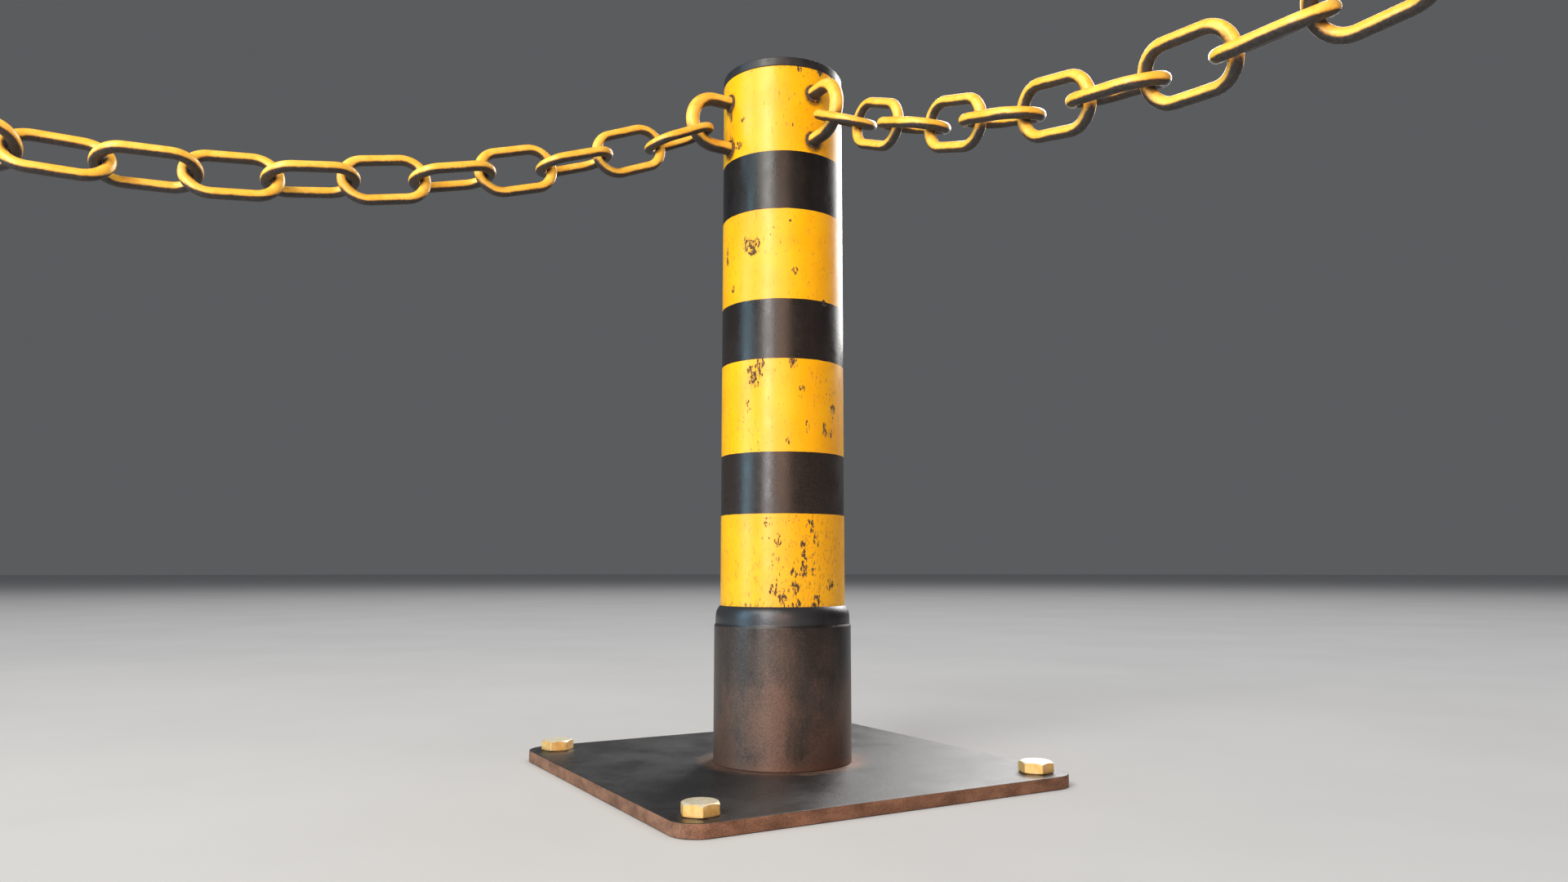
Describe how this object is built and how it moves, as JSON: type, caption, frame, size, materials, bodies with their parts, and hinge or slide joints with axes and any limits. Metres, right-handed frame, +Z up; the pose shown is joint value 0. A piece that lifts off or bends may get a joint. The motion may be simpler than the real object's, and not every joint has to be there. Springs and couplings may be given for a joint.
{
  "type": "chain stanchion",
  "caption": "Striped steel barrier post in a socket on a bolted square base plate, with a welded eye and a hanging link chain on each of two adjoining sides.",
  "frame": {"origin": "on the post axis at the underside of the base plate", "axes": "+Z up along the post; one chain leads away along -X and the other along -Y, square to the base plate edges"},
  "size_m": [1.1069, 1.0415, 0.8],
  "materials": {
    "post_paint": "chipped yellow paint with black bands",
    "cap_paint": "satin black paint",
    "sleeve_paint": "worn dark paint with rust",
    "plate_steel": "dark weathered steel with rust",
    "bolt_zinc": "yellow zinc",
    "chain_paint": "yellow paint worn at the bends"
  },
  "bodies": {
    "stanchion": {"base_plate": "plate_steel", "socket_sleeve": "sleeve_paint", "post_tube": "post_paint", "top_cap": "cap_paint", "anchor_bolt_1": "bolt_zinc", "anchor_bolt_2": "bolt_zinc", "anchor_bolt_3": "bolt_zinc", "anchor_bolt_4": "bolt_zinc", "left_eye": "chain_paint", "left_eye_weld_lower": "chain_paint", "left_eye_weld_upper": "chain_paint", "right_eye": "chain_paint", "right_eye_weld_lower": "chain_paint", "right_eye_weld_upper": "chain_paint"},
    "left_link_01": {"left_link_01": "chain_paint"},
    "left_link_02": {"left_link_02": "chain_paint"},
    "left_link_03": {"left_link_03": "chain_paint"},
    "left_link_04": {"left_link_04": "chain_paint"},
    "left_link_05": {"left_link_05": "chain_paint"},
    "left_link_06": {"left_link_06": "chain_paint"},
    "left_link_07": {"left_link_07": "chain_paint"},
    "left_link_08": {"left_link_08": "chain_paint"},
    "left_link_09": {"left_link_09": "chain_paint"},
    "left_link_10": {"left_link_10": "chain_paint"},
    "left_link_11": {"left_link_11": "chain_paint"},
    "left_end_hook": {"left_end_hook": "chain_paint"},
    "right_link_01": {"right_link_01": "chain_paint"},
    "right_link_02": {"right_link_02": "chain_paint"},
    "right_link_03": {"right_link_03": "chain_paint"},
    "right_link_04": {"right_link_04": "chain_paint"},
    "right_link_05": {"right_link_05": "chain_paint"},
    "right_link_06": {"right_link_06": "chain_paint"},
    "right_link_07": {"right_link_07": "chain_paint"},
    "right_link_08": {"right_link_08": "chain_paint"},
    "right_link_09": {"right_link_09": "chain_paint"},
    "right_link_10": {"right_link_10": "chain_paint"},
    "right_end_hook": {"right_end_hook": "chain_paint"}
  },
  "joints": [
    {"name": "left_link_01_swing", "type": "hinge", "parent": "stanchion", "child": "left_link_01", "pos_m": [-0.10773, 0, 0.71053], "axis": [-0.788, 0, 0.6157], "range_deg": [-60, 60]},
    {"name": "left_link_02_tilt", "type": "hinge", "parent": "left_link_01", "child": "left_link_02", "pos_m": [-0.16855, 0, 0.68738], "axis": [0.0025, 1, -0.0052], "range_deg": [-60, 60]},
    {"name": "left_link_03_swing", "type": "hinge", "parent": "left_link_02", "child": "left_link_03", "pos_m": [-0.22907, 0, 0.66154], "axis": [0.3959, -0.023, -0.918], "range_deg": [-60, 60]},
    {"name": "left_link_04_tilt", "type": "hinge", "parent": "left_link_03", "child": "left_link_04", "pos_m": [-0.29073, 0, 0.63854], "axis": [-0.0183, -0.9987, 0.0485], "range_deg": [-60, 60]},
    {"name": "left_link_05_swing", "type": "hinge", "parent": "left_link_04", "child": "left_link_05", "pos_m": [-0.35341, 0, 0.61854], "axis": [-0.3064, 0.092, 0.9474], "range_deg": [-60, 60]},
    {"name": "left_link_06_tilt", "type": "hinge", "parent": "left_link_05", "child": "left_link_06", "pos_m": [-0.41702, 0, 0.60167], "axis": [0.0373, 0.9897, -0.1386], "range_deg": [-60, 60]},
    {"name": "left_link_07_swing", "type": "hinge", "parent": "left_link_06", "child": "left_link_07", "pos_m": [-0.4814, 0, 0.58807], "axis": [0.2062, -0.2059, -0.9566], "range_deg": [-60, 60]},
    {"name": "left_link_08_tilt", "type": "hinge", "parent": "left_link_07", "child": "left_link_08", "pos_m": [-0.54641, 0, 0.57785], "axis": [-0.0444, -0.9604, 0.2749], "range_deg": [-60, 60]},
    {"name": "left_link_09_swing", "type": "hinge", "parent": "left_link_08", "child": "left_link_09", "pos_m": [-0.61186, 0, 0.57108], "axis": [-0.0999, 0.3603, 0.9275], "range_deg": [-60, 60]},
    {"name": "left_link_10_tilt", "type": "hinge", "parent": "left_link_09", "child": "left_link_10", "pos_m": [-0.67759, 0, 0.56783], "axis": [0.0242, 0.8931, -0.4491], "range_deg": [-60, 60]},
    {"name": "left_link_11_swing", "type": "hinge", "parent": "left_link_10", "child": "left_link_11", "pos_m": [-0.74339, 0, 0.56813], "axis": [-0.0001, -0.5446, -0.8387], "range_deg": [-60, 60]},
    {"name": "left_end_hook_tilt", "type": "hinge", "parent": "left_link_11", "child": "left_end_hook", "pos_m": [-0.80908, 0, 0.57196], "axis": [0.0346, -0.7668, 0.6409], "range_deg": [-60, 60]},
    {"name": "right_link_01_swing", "type": "hinge", "parent": "stanchion", "child": "right_link_01", "pos_m": [0, -0.10773, 0.71053], "axis": [0, -0.788, 0.6157], "range_deg": [-60, 60]},
    {"name": "right_link_02_tilt", "type": "hinge", "parent": "right_link_01", "child": "right_link_02", "pos_m": [0, -0.16855, 0.68738], "axis": [-1, 0.0025, -0.0052], "range_deg": [-60, 60]},
    {"name": "right_link_03_swing", "type": "hinge", "parent": "right_link_02", "child": "right_link_03", "pos_m": [0, -0.22907, 0.66154], "axis": [0.023, 0.3959, -0.918], "range_deg": [-60, 60]},
    {"name": "right_link_04_tilt", "type": "hinge", "parent": "right_link_03", "child": "right_link_04", "pos_m": [0, -0.29073, 0.63854], "axis": [0.9987, -0.0183, 0.0485], "range_deg": [-60, 60]},
    {"name": "right_link_05_swing", "type": "hinge", "parent": "right_link_04", "child": "right_link_05", "pos_m": [0, -0.35341, 0.61854], "axis": [-0.092, -0.3064, 0.9474], "range_deg": [-60, 60]},
    {"name": "right_link_06_tilt", "type": "hinge", "parent": "right_link_05", "child": "right_link_06", "pos_m": [0, -0.41702, 0.60167], "axis": [-0.9897, 0.0373, -0.1386], "range_deg": [-60, 60]},
    {"name": "right_link_07_swing", "type": "hinge", "parent": "right_link_06", "child": "right_link_07", "pos_m": [0, -0.4814, 0.58807], "axis": [0.2059, 0.2062, -0.9566], "range_deg": [-60, 60]},
    {"name": "right_link_08_tilt", "type": "hinge", "parent": "right_link_07", "child": "right_link_08", "pos_m": [0, -0.54641, 0.57785], "axis": [0.9604, -0.0444, 0.2749], "range_deg": [-60, 60]},
    {"name": "right_link_09_swing", "type": "hinge", "parent": "right_link_08", "child": "right_link_09", "pos_m": [0, -0.61186, 0.57108], "axis": [-0.3603, -0.0999, 0.9275], "range_deg": [-60, 60]},
    {"name": "right_link_10_tilt", "type": "hinge", "parent": "right_link_09", "child": "right_link_10", "pos_m": [0, -0.67759, 0.56783], "axis": [-0.8931, 0.0242, -0.4491], "range_deg": [-60, 60]},
    {"name": "right_end_hook_swing", "type": "hinge", "parent": "right_link_10", "child": "right_end_hook", "pos_m": [0, -0.74339, 0.56813], "axis": [0.5446, -0.0001, -0.8387], "range_deg": [-60, 60]}
  ]
}
